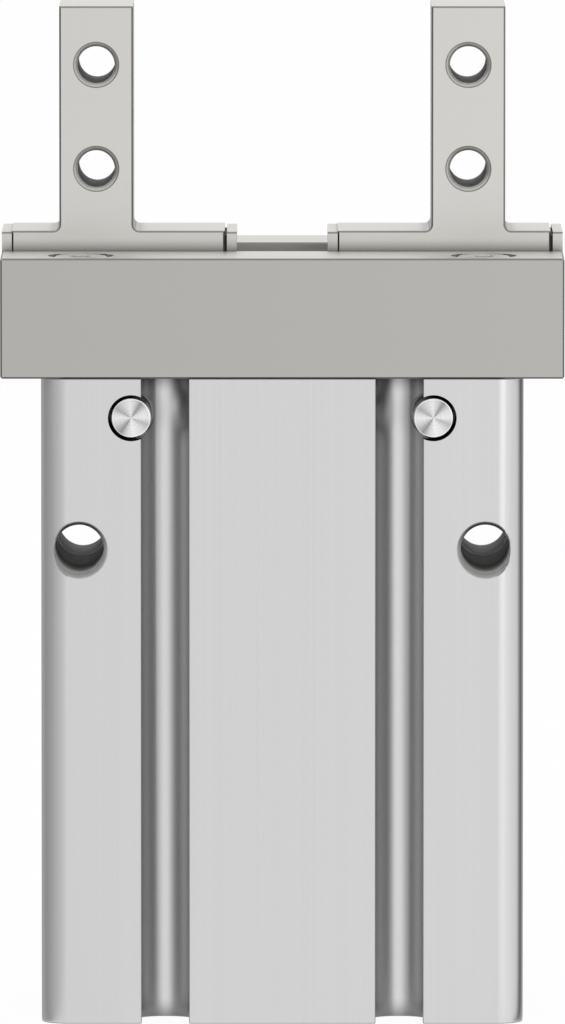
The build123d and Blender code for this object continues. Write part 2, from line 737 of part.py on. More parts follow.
def plate_screw(side, end, z):
    """A countersunk screw that holds an end plate, flush with the plate's outer face."""
    low, high = plate_span(side, end)
    outward = side * end
    face_x = high if outward > 0 else low
    head_depth = PLATE_SCREW_HEAD_R - PLATE_SCREW_R
    seat = (Align.CENTER, Align.CENTER, Align.MIN)
    head = Cone(PLATE_SCREW_HEAD_R, PLATE_SCREW_R, head_depth, align=seat)
    shank = upright(PLATE_SCREW_R, 0, PLATE_SCREW_LENGTH)
    return Pos(face_x, 0, z) * Rot(0, -90 * outward, 0) * (head + shank)


def slotted_plate_screw(side, end, z):
    """The same screw with a drive slot across its head."""
    low, high = plate_span(side, end)
    outward = side * end
    face_x = high if outward > 0 else low
    slot_depth = (PLATE_SCREW_HEAD_R - PLATE_SCREW_R) / 2
    slot = Pos(face_x, 0, z) * Box(2 * slot_depth, 2 * PLATE_SCREW_HEAD_R, slot_depth)
    return plate_screw(side, end, z) - slot


def make_plate_screws(side):
    screws = [slotted_plate_screw(side, end, z) for end in (-1, 1) for z in plate_screw_heights()]
    return Compound(children=screws)


def make_wiper(side):
    """The thin rubber wiper between a jaw's base and its end plate on the +X side."""
    low = base_span(side)[1]
    half = JAW_DEPTH / 2 - WIPER_INSET
    high_z = JAW_SHOULDER - PLATE_DROP - WIPER_INSET
    wiper = block(low, low + WIPER_THICK, -half, half, JAW_BOTTOM, high_z)
    for z in plate_screw_heights():
        wiper -= plate_screw(side, side, z)
    return wiper


def make_balls(side):
    """Two rows of balls, one on each side of the jaw's base."""
    low, high = base_span(side)
    start = (low + high - (BALL_COUNT - 1) * BALL_PITCH) / 2
    balls = []
    for race_side in (-1, 1):
        for number in range(BALL_COUNT):
            balls.append(Pos(start + number * BALL_PITCH, race_side * RACE_Y, RACE_Z) * Sphere(BALL_R))
    return Compound(children=balls)


def make_all():
    """Every piece by its node name."""
    pieces = {
        "housing": make_housing(),
        "guide_block": make_guide_block(),
        "guide_screws": make_guide_screws(),
        "rod_bush": make_rod_bush(),
        "rod_seal": make_rod_seal(),
        "seal_retainer": make_seal_retainer(),
        "upper_bumper": bumper(BORE_TOP - BUMPER_THICK),
        "lower_bumper": bumper(CAP_TOP),
        "end_cap": make_end_cap(),
        "cap_seal_ring": make_cap_seal_ring(),
        "retaining_ring": make_retaining_ring(),
        "piston_upper": make_piston_upper(),
        "piston_lower": make_piston_lower(),
        "piston_seal_upper": make_piston_seal_upper(),
        "piston_seal_lower": make_piston_seal_lower(),
        "piston_magnet": make_piston_magnet(),
        "piston_guide_ring": make_piston_guide_ring(),
        "piston_rod": make_piston_rod(),
        "piston_screw": make_piston_screw(),
        "drive_spool": make_drive_spool(),
    }
    for word, side in (("left", -1), ("right", 1)):
        pieces[f"pivot_pin_{word}"] = make_pivot_pin(side)
        pieces[f"lever_{word}"] = make_lever(side)
        pieces[f"lever_bush_{word}"] = make_lever_bush(side)
        pieces[f"jaw_{word}"] = make_jaw(side)
        pieces[f"jaw_{word}_outer_plate"] = make_plate(side, 1)
        pieces[f"jaw_{word}_inner_plate"] = make_plate(side, -1)
        pieces[f"jaw_{word}_wiper"] = make_wiper(side)
        pieces[f"jaw_{word}_plate_screws"] = make_plate_screws(side)
        pieces[f"jaw_{word}_balls"] = make_balls(side)
    return pieces


os.makedirs("parts", exist_ok=True)
for node, shape in make_all().items():
    export_step(shape, f"parts/{node}.step")
print("lever swing", round(math.degrees(2 * SWING), 4), "degrees")
print("piston travel", round(PISTON_TRAVEL, 5), "mm")
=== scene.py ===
import json
import math

import bmesh
import bpy
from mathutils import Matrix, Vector


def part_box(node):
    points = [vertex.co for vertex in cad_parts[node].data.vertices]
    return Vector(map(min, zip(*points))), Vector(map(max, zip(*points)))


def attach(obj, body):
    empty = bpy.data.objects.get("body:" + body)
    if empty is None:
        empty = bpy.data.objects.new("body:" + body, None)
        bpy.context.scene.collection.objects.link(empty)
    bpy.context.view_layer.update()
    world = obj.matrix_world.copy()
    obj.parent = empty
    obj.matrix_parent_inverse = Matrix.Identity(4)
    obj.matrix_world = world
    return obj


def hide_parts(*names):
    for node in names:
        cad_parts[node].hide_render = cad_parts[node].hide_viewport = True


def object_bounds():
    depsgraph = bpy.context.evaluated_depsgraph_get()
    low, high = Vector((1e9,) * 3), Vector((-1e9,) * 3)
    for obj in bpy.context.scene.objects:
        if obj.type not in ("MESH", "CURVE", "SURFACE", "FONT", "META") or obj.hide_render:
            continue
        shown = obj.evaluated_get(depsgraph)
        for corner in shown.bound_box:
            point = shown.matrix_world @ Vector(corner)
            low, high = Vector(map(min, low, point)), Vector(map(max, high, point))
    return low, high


# Looks of a pneumatic parallel gripper. Lengths are in metres, and X is the jaws' travel,
# -Y the front with the sensor slots and +Z the side of the jaws.

bl_info = {
    "name": "Parallel gripper finish",
    "version": (1, 0, 0),
    "blender": (4, 5, 0),
    "location": "3D View > Sidebar > Gripper",
    "description": "Edges, metal finishes and a studio stage for a pneumatic parallel gripper",
    "category": "Object",
}

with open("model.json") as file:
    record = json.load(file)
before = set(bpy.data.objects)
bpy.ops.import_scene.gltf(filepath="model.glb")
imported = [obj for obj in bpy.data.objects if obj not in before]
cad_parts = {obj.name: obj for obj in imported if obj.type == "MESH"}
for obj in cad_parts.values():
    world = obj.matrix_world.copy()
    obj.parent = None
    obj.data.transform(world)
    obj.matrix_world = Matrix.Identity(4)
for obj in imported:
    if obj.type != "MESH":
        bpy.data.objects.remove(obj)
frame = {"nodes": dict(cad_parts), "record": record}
CAD_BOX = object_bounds()

MM = 0.001
WELD = 0.001 * MM
SIDES = ("left", "right")

# The body's box and the lever pins' axes, read from the frame
BODY_LOW, BODY_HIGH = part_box("housing")
PIN_LOW, PIN_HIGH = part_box("pivot_pin_right")
PIN_X = (PIN_LOW.x + PIN_HIGH.x) / 2
PIN_Z = (PIN_LOW.z + PIN_HIGH.z) / 2

# Round of the body's upright corners, width of the band along its outline in which an edge at its
# end is broken, and the places of the sensor slots, by X from the middle and by depth
CORNER_R = 1.8 * MM
OUTLINE = 2.5 * MM
SLOT_NEAR, SLOT_FAR, SLOT_DEPTH = 5.8 * MM, 10.0 * MM, 4.4 * MM

# Holes: the radius that holds a pin hole's mouth, the most and the least width of a countersunk
# rim, the most step from a thread to its relief, and the least depth of a hole's bottom
PIN_MOUTH_R = 1.60 * MM
RIM_WIDTH, RIM_NEAR = 0.40 * MM, 0.04 * MM
RELIEF_STEP = 0.12 * MM
BOTTOM_DEPTH = 1 * MM

# The side holes' lead-ins: depth of the countersink in the frame's mesh, the lead-in's own depth,
# and its width as a share of the countersink's
RIM_DEPTH, MOUTH_DEPTH, MOUTH_SHARE = 0.32 * MM, 0.9 * MM, 0.78

# Shares of a face's normal along an axis: the most on a wall along it and on a rim, the least on a
# face across it and on a chamfer at 45 degrees, and the most that still counts as none
WALL_TILT, RIM_TILT, FACE_TILT, CHAMFER_TILT = 0.1, 0.8, 0.9, 0.6
SQUARE = 0.01

# Painted shade: brightness of metal deep in a seam; tones of the side holes' walls at places along Y,
# painted light at the front and painted shade deeper in; and the reach and tone of the shade painted
# at a sensor slot's sides
CREVICE_TONE = 0.35
WALL_TONES = ((-10.1 * MM, 1.0), (-5.5 * MM, 0.2), (3.7 * MM, 0.2), (4.5 * MM, 0.08))
SLOT_SHADE = (0.05 * MM, 0.62 * MM, 0.72)

# Angles between the triangles of one flat face, and across an edge that stays smooth
FLAT = math.radians(0.2)
SMOOTH = math.radians(30)

# A piece's second material is that of its broken edges, a copy of its face's material in another tone:
# painted shade, and on the pins' ends a painted highlight
EDGE = 1


def colour_property(name, description, default):
    """A colour that the user can change."""
    return bpy.props.FloatVectorProperty(
        name=name, description=description, subtype="COLOR", size=3, min=0, max=1, default=default
    )


def length_property(name, description, default):
    """A length that the user can change."""
    return bpy.props.FloatProperty(
        name=name, description=description, default=default, min=0, unit="LENGTH", precision=5
    )


def share_property(name, description, default):
    """A plain number from 0 to 1 that the user can change."""
    return bpy.props.FloatProperty(name=name, description=description, default=default, min=0, max=1)


class GripperSizes(bpy.types.PropertyGroup):
    """Sizes of the finishing details and of the stage."""

    body_edge: length_property("Body edge", "Width of the broken edges at the body's two ends", 0.06 * MM)
    rim_edge: length_property("Rim edge", "Width of the broken edges of the slots and holes", 0.05 * MM)
    steel_edge: length_property("Steel edge", "Width of the round on the steel pieces' edges", 0.03 * MM)
    grain: length_property("Grain", "Distance between the extrusion's drawn lines", 0.16 * MM)
    rings: length_property("Turning rings", "Distance between the tool marks on the pin ends", 0.09 * MM)
    floor: length_property("Floor", "Side of the floor", 12.0)


class GripperColours(bpy.types.PropertyGroup):
    """Colours and gloss of the materials."""

    body: colour_property("Body", "Natural anodised aluminium", (0.68, 0.68, 0.68))
    block: colour_property("Guide block", "Ground stainless steel", (0.490, 0.480, 0.457))
    jaw: colour_property("Jaws", "Fine ground stainless steel", (0.668, 0.656, 0.628))
    # Painted shade: the bores' and reliefs' dark colours stand for the shade inside the threaded holes
    bore_shade: colour_property("Bores", "Walls of the threaded holes", (0.18, 0.18, 0.175))
    relief: colour_property("Reliefs", "Walls between the threads", (0.36, 0.36, 0.35))
    pin: colour_property("Pins", "Turned steel", (0.80, 0.80, 0.80))
    screw: colour_property("Screws", "Plated steel", (0.72, 0.71, 0.68))
    # Painted shade: a broken edge's colour is its face's colour darkened by this share
    edge_shade_tone: share_property("Edge tone", "Brightness of a broken edge next to its face", 0.44)
    floor: colour_property("Floor", "Studio floor", (0.95, 0.95, 0.95))


def sizes():
    """The sizes in use."""
    return bpy.context.scene.gripper_sizes


def colours():
    """The colours in use."""
    return bpy.context.scene.gripper_colours


def record_body(node):
    """The body that a node belongs to."""
    for body, nodes in frame["record"]["behaviour"]["bodies"].items():
        if node in nodes:
            return body
    raise RuntimeError(f"no body holds {node}")


def threads(mount):
    """A pattern of two threaded holes in the record: their places, X and Z, and their radius."""
    for row in frame["record"]["mounts"]:
        if row["name"] == mount:
            x, _, z = row["pos_m"]
            dims = row["dims"]
            half_x = dims.get("spacing_x_mm", 0) * MM / 2
            half_z = dims.get("spacing_y_mm", 0) * MM / 2
            places = [(x - half_x, z - half_z), (x + half_x, z + half_z)]
            return places, dims["hole_r_mm"] * MM
    raise RuntimeError(f"the record has no mount {mount}")


def new_material(name):
    """An empty node material, its nodes and its links."""
    material = bpy.data.materials.new(name)
    material.use_nodes = True
    return material, material.node_tree.nodes, material.node_tree.links


def add_node(nodes, kind, **values):
    """A shader node with some of its settings."""
    node = nodes.new(kind)
    for key, value in values.items():
        setattr(node, key, value)
    return node


def feed(links, socket, value):
    """Gives a socket a number, or links it to an output."""
    if isinstance(value, (int, float)):
        socket.default_value = value
    else:
        links.new(value, socket)


def worked_out(nodes, links, operation, first, second=0.0):
    """The result of an operation on two numbers or outputs."""
    node = add_node(nodes, "ShaderNodeMath", operation=operation)
    feed(links, node.inputs[0], first)
    feed(links, node.inputs[1], second)
    return node.outputs[0]


def remapped(nodes, links, value, start, end, first, last, **settings):
    """A number that runs from first to last while a value runs from start to end."""
    node = add_node(nodes, "ShaderNodeMapRange", **settings)
    ends = {"From Min": start, "From Max": end, "To Min": first, "To Max": last}
    for socket, number in ends.items():
        node.inputs[socket].default_value = number
    links.new(value, node.inputs["Value"])
    return node.outputs["Result"]


def mix_value(nodes, links, factor, low, high):
    """A number between two numbers or outputs."""
    mixed = add_node(nodes, "ShaderNodeMix", data_type="FLOAT")
    feed(links, mixed.inputs["Factor"], factor)
    feed(links, mixed.inputs["A"], low)
    feed(links, mixed.inputs["B"], high)
    return mixed.outputs["Result"]


def tone_ramp(nodes, links, value, stops, full=1.0):
    """Tones at stops along a value from 0 to 1, each as a share of the full tone."""
    ramp = add_node(nodes, "ShaderNodeValToRGB")
    elements = ramp.color_ramp.elements
    while len(elements) < len(stops):
        elements.new(0.5)
    for element, (position, tone) in zip(elements, stops):
        element.position = position
        element.color = (tone / full, tone / full, tone / full, 1)
    links.new(value, ramp.inputs["Fac"])
    return ramp.outputs["Color"]


def coordinate(nodes, links, axis, kind="Object"):
    """One axis of the object's own coordinates, or of its normals."""
    place = add_node(nodes, "ShaderNodeTexCoord")
    split = add_node(nodes, "ShaderNodeSeparateXYZ")
    links.new(place.outputs[kind], split.inputs["Vector"])
    return split.outputs[axis]


def stretched_noise(nodes, links, scale, centre=(0, 0, 0)):
    """Noise over the object's own coordinates, stretched by a scale for each axis."""
    place = add_node(nodes, "ShaderNodeTexCoord")
    mapping = add_node(nodes, "ShaderNodeMapping")
    mapping.inputs["Scale"].default_value = scale
    mapping.inputs["Location"].default_value = centre
    noise = add_node(nodes, "ShaderNodeTexNoise")
    noise.inputs["Scale"].default_value = 1.0
    noise.inputs["Detail"].default_value = 3.0
    links.new(place.outputs["Object"], mapping.inputs["Vector"])
    links.new(mapping.outputs["Vector"], noise.inputs["Vector"])
    return noise.outputs["Fac"]


def spread(nodes, links, noise, low, high):
    """Maps the middle of a noise's range onto a range of its own."""
    return remapped(nodes, links, noise, 0.3, 0.7, low, high)


def tinted(nodes, links, colour, factor):
    """A colour, or the output of one, made lighter or darker by a factor that varies."""
    scaled = add_node(nodes, "ShaderNodeVectorMath", operation="SCALE")
    if isinstance(colour, bpy.types.NodeSocket):
        links.new(colour, scaled.inputs[0])
    else:
        scaled.inputs[0].default_value = tuple(colour)
    links.new(factor, scaled.inputs["Scale"])
    return scaled.outputs["Vector"]


def darker(colour, tone):
    """A colour at a share of its brightness."""
    return tuple(channel * tone for channel in colour)


def bump(nodes, links, height, strength, distance):
    """A normal that follows a height."""
    node = add_node(nodes, "ShaderNodeBump")
    node.inputs["Strength"].default_value = strength
    node.inputs["Distance"].default_value = distance
    links.new(height, node.inputs["Height"])
    return node.outputs["Normal"]


def crevice_shade(nodes, links, shade, depth):
    """A painted shade that darkens the colour where another surface comes close, as in a seam or a
    corner.
    """
    near = add_node(nodes, "ShaderNodeAmbientOcclusion", samples=12)
    near.inputs["Distance"].default_value = depth
    tone = remapped(nodes, links, near.outputs["AO"], 0.5, 1.0, CREVICE_TONE, 1.0)
    return worked_out(nodes, links, "MULTIPLY", shade, tone)


def metal(name, colour, metallic, roughness, grain, variation=0.02, depth=0.02, crevice=0.0):
    """A metal whose fine grain runs along the axis with the smallest grain number, per millimetre."""
    material, nodes, links = new_material(name)
    shader = nodes["Principled BSDF"]
    shader.inputs["Metallic"].default_value = metallic
    scale = tuple(value / MM for value in grain)
    fine = stretched_noise(nodes, links, scale)
    broad = stretched_noise(nodes, links, tuple(value / 12 for value in scale), centre=(3, 7, 5))
    tone = mix_value(nodes, links, 0.35, fine, broad)
    shade = spread(nodes, links, tone, 1 - variation, 1 + variation)
    # Painted shade: darkens the colour where another surface comes close
    if crevice:
        shade = crevice_shade(nodes, links, shade, crevice)
    links.new(tinted(nodes, links, colour, shade), shader.inputs["Base Color"])
    gloss = spread(nodes, links, tone, roughness - 0.04, roughness + 0.04)
    links.new(gloss, shader.inputs["Roughness"])
    links.new(bump(nodes, links, fine, depth, 0.02 * MM), shader.inputs["Normal"])
    return material


def plain(name, colour, roughness, metallic=0.0):
    """A moulded or cast surface with a fine speckle."""
    material, nodes, links = new_material(name)
    shader = nodes["Principled BSDF"]
    shader.inputs["Metallic"].default_value = metallic
    tone = stretched_noise(nodes, links, (4 / MM, 4 / MM, 4 / MM))
    shade = spread(nodes, links, tone, 0.95, 1.05)
    links.new(tinted(nodes, links, colour, shade), shader.inputs["Base Color"])
    links.new(spread(nodes, links, tone, roughness - 0.05, roughness + 0.05), shader.inputs["Roughness"])
    links.new(bump(nodes, links, tone, 0.1, 0.02 * MM), shader.inputs["Normal"])
    return material


def shade_more(material, shade):
    """Scales a material's colour by one more shade."""
    nodes, links = material.node_tree.nodes, material.node_tree.links
    target = nodes["Principled BSDF"].inputs["Base Color"]
    links.new(tinted(nodes, links, target.links[0].from_socket, shade), target)


def paint_side_shade(material, middle, near, far, tone):
    """Paints shade into a material from a line at each side of the gripper outwards, as at the sides of a
    slot.
    """
    nodes, links = material.node_tree.nodes, material.node_tree.links
    side = worked_out(nodes, links, "ABSOLUTE", coordinate(nodes, links, "X"))
    away = worked_out(nodes, links, "SUBTRACT", side, middle)
    reach = worked_out(nodes, links, "ABSOLUTE", away)
    shade = remapped(nodes, links, reach, near, far, 1.0, tone, interpolation_type="SMOOTHSTEP")
    shade_more(material, shade)


def tone_along_y(material, stops):
    """Paints light and shade into a material by tones at places along Y, as on a hole's wall that takes
    light in front.
    """
    nodes, links = material.node_tree.nodes, material.node_tree.links
    place = coordinate(nodes, links, "Y")
    for (near, near_tone), (far, far_tone) in zip(stops, stops[1:]):
        shade_more(material, remapped(nodes, links, place, near, far, 1.0, far_tone / near_tone))


def darken_undersides(material, tone):
    """Paints shade into a material by a tone where it faces down, and less where it faces sideways."""
    nodes, links = material.node_tree.nodes, material.node_tree.links
    rise = coordinate(nodes, links, "Z", kind="Normal")
    shade_more(material, remapped(nodes, links, rise, -0.8, 0.0, tone, 1.0))


# Painted reflection: brightness round a turned face, by the share of a turn, four light sectors with
# darker ones between
PAINTED_CONE_TONES = (
    (0.00, 1.10), (0.08, 0.80), (0.15, 0.40), (0.20, 0.86), (0.27, 1.16), (0.36, 1.00), (0.44, 0.66),
    (0.50, 1.10), (0.58, 0.98), (0.655, 0.40), (0.70, 0.80), (0.76, 1.08), (0.84, 0.84), (0.91, 0.56),
    (0.96, 0.96), (1.00, 1.10),
)
CONE_FULL = 1.2


def turned_end(name, colour, axis, pitch):
    """Turned steel: tool rings about the nearer pin's axis, at X and Z, and a painted reflection of their
    cones of light.
    """
    material, nodes, links = new_material(name)
    shader = nodes["Principled BSDF"]
    shader.inputs["Metallic"].default_value = 1.0
    across = coordinate(nodes, links, "X")
    beside = worked_out(nodes, links, "SUBTRACT", worked_out(nodes, links, "ABSOLUTE", across), axis[0])
    beside = worked_out(nodes, links, "MULTIPLY", beside, worked_out(nodes, links, "SIGN", across))
    above = worked_out(nodes, links, "SUBTRACT", coordinate(nodes, links, "Z"), axis[1])
    flat = add_node(nodes, "ShaderNodeCombineXYZ")
    links.new(beside, flat.inputs["X"])
    links.new(above, flat.inputs["Y"])
    radius = add_node(nodes, "ShaderNodeVectorMath", operation="LENGTH")
    links.new(flat.outputs[0], radius.inputs[0])
    rings = add_node(nodes, "ShaderNodeTexNoise", noise_dimensions="1D")
    rings.inputs["Scale"].default_value = 1.0
    rings.inputs["Detail"].default_value = 2.0
    links.new(worked_out(nodes, links, "DIVIDE", radius.outputs["Value"], pitch), rings.inputs["W"])
    marks = rings.outputs["Fac"]
    angle = worked_out(nodes, links, "ARCTAN2", above, beside)
    turn = remapped(nodes, links, angle, -math.pi, math.pi, 0.0, 1.0)
    cones = tone_ramp(nodes, links, turn, PAINTED_CONE_TONES, CONE_FULL)
    cones = worked_out(nodes, links, "MULTIPLY", cones, CONE_FULL)
    tone = worked_out(nodes, links, "MULTIPLY", cones, spread(nodes, links, marks, 0.88, 1.08))
    links.new(tinted(nodes, links, colour, tone), shader.inputs["Base Color"])
    links.new(spread(nodes, links, marks, 0.26, 0.36), shader.inputs["Roughness"])
    links.new(bump(nodes, links, marks, 0.12, 0.03 * MM), shader.inputs["Normal"])
    return material


def merged_mesh(node):
    """A node's mesh with its corners joined."""
    mesh = bmesh.new()
    mesh.from_mesh(frame["nodes"][node].data)
    bmesh.ops.remove_doubles(mesh, verts=mesh.verts, dist=WELD)
    return mesh


def merge_flat_faces(mesh):
    """Merges flat triangles into faces, so that edges between them can be bevelled."""
    bmesh.ops.dissolve_limit(mesh, angle_limit=math.radians(0.5), verts=mesh.verts, edges=mesh.edges)


def break_edges(mesh, width, segments=2, least_angle=35.0, wanted=None):
    """Rounds the sharp edges, and gives the new faces the edge material, whose tone paints shade on them
    (a highlight on the pins).
    """
    merge_flat_faces(mesh)
    sharp = []
    for edge in mesh.edges:
        if len(edge.link_faces) != 2 or edge.calc_face_angle() < math.radians(least_angle):
            continue
        if wanted is None or wanted(edge):
            sharp.append(edge)
    made = bmesh.ops.bevel(
        mesh, geom=sharp, offset=width, offset_type="OFFSET", segments=segments, profile=0.5,
        affect="EDGES", material=-1, clamp_overlap=False,
    )
    for face in made["faces"]:
        face.material_index = EDGE
    wide = [face for face in mesh.faces if len(face.verts) > 4]
    bmesh.ops.triangulate(mesh, faces=wide, quad_method="BEAUTY", ngon_method="BEAUTY")


def mark_chamfers(mesh):
    """Paints shade on the narrow faces at 45 degrees that don't look down, fillets' too, by giving them
    the edge material.
    """
    for face in mesh.faces:
        steep = sorted(abs(part) for part in face.normal)
        straight = steep[0] < 0.05 and steep[1] > CHAMFER_TILT and face.normal.z > -0.5
        if straight or CHAMFER_TILT < abs(face.normal.y) < RIM_TILT:
            face.material_index = EDGE


def nearest_reach(point, places):
    """Distance of a point from the nearest of some axes along Y, given by X and Z."""
    return min(math.hypot(point.x - x, point.z - z) for x, z in places)


def shade_bores(mesh, places, radius, wall, rim=None):
    """Gives materials to the walls, and to the countersunk rims, of holes along Y at places, X and Z."""
    for face in mesh.faces:
        middle = face.calc_center_median()
        tilt = abs(face.normal.y)
        reach = nearest_reach(middle, places)
        if tilt < WALL_TILT and reach < radius:
            face.material_index = wall
        elif rim is not None and WALL_TILT < tilt < RIM_TILT and reach < radius + RIM_WIDTH:
            face.material_index = rim


def shade_bottoms(mesh, places, radius, bottom):
    """Gives a material to the flat bottoms, well inside the body, of holes along Y at places, X and Z."""
    for face in mesh.faces:
        middle = face.calc_center_median()
        inside = nearest_reach(middle, places) < radius and abs(middle.y) < BODY_HIGH.y - BOTTOM_DEPTH
        if inside and abs(face.normal.y) > FACE_TILT:
            face.material_index = bottom


def front_depth(x):
    """Depth of the body's front, with its rounded corners, behind the front plane at a place X."""
    past = max(0, abs(x) - BODY_HIGH.x + CORNER_R)
    return CORNER_R - math.sqrt(CORNER_R ** 2 - past ** 2)


def steepen_rims(mesh, places, radius):
    """Turns the front rims of the holes into narrower and steeper lead-ins."""
    for vert in mesh.verts:
        x, z = min(places, key=lambda place: math.dist(place, (vert.co.x, vert.co.z)))
        reach = math.dist((x, z), (vert.co.x, vert.co.z))
        depth = vert.co.y - BODY_LOW.y
        if depth > RIM_WIDTH:
            continue
        if radius + RIM_NEAR < reach < radius + RIM_WIDTH:
            outside = depth - front_depth(vert.co.x) < 10 * WELD
            scale = (radius + (reach - radius) * MOUTH_SHARE) / reach
            vert.co.x = x + (vert.co.x - x) * scale
            vert.co.z = z + (vert.co.z - z) * scale
            depth = front_depth(vert.co.x) if outside else depth * MOUTH_DEPTH / RIM_DEPTH
            vert.co.y = BODY_LOW.y + depth
        elif abs(reach - radius) < RIM_NEAR / 2:
            vert.co.y = BODY_LOW.y + MOUTH_DEPTH


def rim_of(places, radius):
    """A test for the edges, outside a radius, of the countersunk rims of holes along Y at places."""
    def is_rim(edge):
        middle = (edge.verts[0].co + edge.verts[1].co) / 2
        sloping = any(WALL_TILT < abs(face.normal.y) < RIM_TILT for face in edge.link_faces)
        return sloping and radius < nearest_reach(middle, places) < radius + RIM_WIDTH
    return is_rim


def flat_areas(mesh):
    """Area of the flat face that each triangle belongs to."""
    areas = {}
    for first in mesh.faces:
        if first in areas:
            continue
        region, waiting = {first}, [first]
        while waiting:
            for edge in waiting.pop().edges:
                if len(edge.link_faces) == 2 and edge.calc_face_angle() < FLAT:
                    found = [face for face in edge.link_faces if face not in region]
                    region.update(found)
                    waiting.extend(found)
        area = sum(face.calc_area() for face in region)
        areas.update((face, area) for face in region)
    return areas


def corner_normals(mesh):
    """Normals that keep flat faces flat, and let rounds run smoothly into them."""
    areas = flat_areas(mesh)
    normals = []
    for face in mesh.faces:
        for corner in face.loops:
            total = Vector()
            for other in corner.vert.link_loops:
                if other.face.normal.angle(face.normal, 0) < SMOOTH:
                    total += other.face.normal * areas[other.face] * other.calc_angle()
            normals.append(total.normalized())
    return normals


def finished_piece(name, node, mesh, materials):
    """Makes the piece that stands for a node, hides the node and puts the piece on the node's body."""
    data = bpy.data.meshes.new(name)
    for face in mesh.faces:
        face.smooth = True
    normals = corner_normals(mesh)
    mesh.to_mesh(data)
    mesh.free()
    data.set_sharp_from_angle(angle=SMOOTH)
    data.normals_split_custom_set(normals)
    for material in materials:
        data.materials.append(material)
    piece = bpy.data.objects.new(name, data)
    bpy.context.scene.collection.objects.link(piece)
    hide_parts(node)
    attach(piece, record_body(node))
    return piece


def dress_node(node, material):
    """Gives a node that keeps its own shape its finish."""
    shown = frame["nodes"][node]
    shown.data.materials.clear()
    shown.data.materials.append(material)


class GRIPPER_OT_body(bpy.types.Operator):
    """Finish the extruded body with its drawn grain and broken edges"""

    bl_idname = "gripper.body"
    bl_label = "Extruded body"

    def execute(self, context):
        colour = colours().body
        across = MM / sizes().grain
        grain = (across, across, across / 700)
        face = metal("drawn_aluminium", colour, 0.95, 0.30, grain, depth=0.03)
        # Painted shade: the body's broken edges take a darker copy of its colour
        edge = metal("drawn_aluminium_edge", darker(colour, colours().edge_shade_tone), 0.95, 0.40, grain)
        # Painted light and shade: the slot takes a lighter copy of the body's colour, darkened by painted
        # shade under the block and towards the slot's sides
        slot = metal("drawn_slot", darker(colour, 1.18), 1.0, 0.33, grain, crevice=1.3 * MM)
        paint_side_shade(slot, (SLOT_NEAR + SLOT_FAR) / 2, *SLOT_SHADE)
        # Painted light and shade: the side holes' walls are painted lit near the mouth and shaded deeper
        # in
        wall = plain("tapped_wall", darker(colours().bore_shade, 5.0), 0.6)
        tone_along_y(wall, WALL_TONES)
        # Painted shade: near-black walls at the pin holes' mouths
        gap = plain("painted_gap_shade", (0.004, 0.004, 0.004), 0.7)
        # Painted shade: the countersunk rims take a darker copy of the body's colour, darker still where
        # they face down
        rim = plain("countersunk_rim", darker(colour, 0.80), 0.4)
        darken_undersides(rim, 0.15)
        # Painted shade: the thread reliefs take a dark colour for the shade in the holes
        relief = plain("thread_relief", colours().relief, 0.6)
        finishes = (face, edge, slot, wall, gap, rim, relief)
        mesh = merged_mesh("housing")
        places, radius = threads("front_threads")
        steepen_rims(mesh, places, radius)
        break_edges(mesh, sizes().body_edge, wanted=self.is_at_end)
        break_edges(mesh, sizes().rim_edge, wanted=self.is_slot_edge)
        break_edges(mesh, sizes().rim_edge, segments=1, wanted=rim_of(places, radius + RIM_NEAR))
        self.mark_slots(mesh, finishes.index(slot))
        shade_bores(mesh, places, radius + RELIEF_STEP, finishes.index(relief))
        shade_bores(mesh, places, radius, finishes.index(wall), rim=finishes.index(rim))
        pins = [(-PIN_X, PIN_Z), (PIN_X, PIN_Z)]
        shade_bores(mesh, pins, PIN_MOUTH_R, finishes.index(gap))
        # Painted shade: the pin holes' bottoms take the body's darker edge material
        shade_bottoms(mesh, pins, PIN_MOUTH_R, EDGE)
        finished_piece("extruded_body", "housing", mesh, finishes)
        return {"FINISHED"}

    @staticmethod
    def mark_slots(mesh, slot):
        """Gives a material to the walls of the two sensor slots, apart from their broken edges."""
        for face in mesh.faces:
            middle = face.calc_center_median()
            depth = middle.y - BODY_LOW.y
            inside = SLOT_NEAR < abs(middle.x) < SLOT_FAR and 0.1 * MM < depth < SLOT_DEPTH
            if inside and abs(face.normal.z) < WALL_TILT and face.material_index != EDGE:
                face.material_index = slot

    @staticmethod
    def is_at_end(edge):
        """True for an edge of the section's outline, slots included, at the body's upper or lower end."""
        middle = (edge.verts[0].co + edge.verts[1].co) / 2
        at_end = min(abs(middle.z - BODY_LOW.z), abs(middle.z - BODY_HIGH.z)) < WELD
        in_bore = abs(middle.x) < BODY_HIGH.x - OUTLINE and abs(middle.y) < BODY_HIGH.y - SLOT_DEPTH
        upright, level = sorted(abs(face.normal.z) for face in edge.link_faces)
        return at_end and not in_bore and upright < SQUARE and level > 1 - SQUARE

    @staticmethod
    def is_slot_edge(edge):
        """True for an upright edge between a sensor slot and the front face."""
        first, second = (vert.co for vert in edge.verts)
        upright = abs(first.x - second.x) + abs(first.y - second.y) < WELD and edge.calc_length() > 1 * MM
        return upright and abs(first.y - BODY_LOW.y) < 0.1 * MM


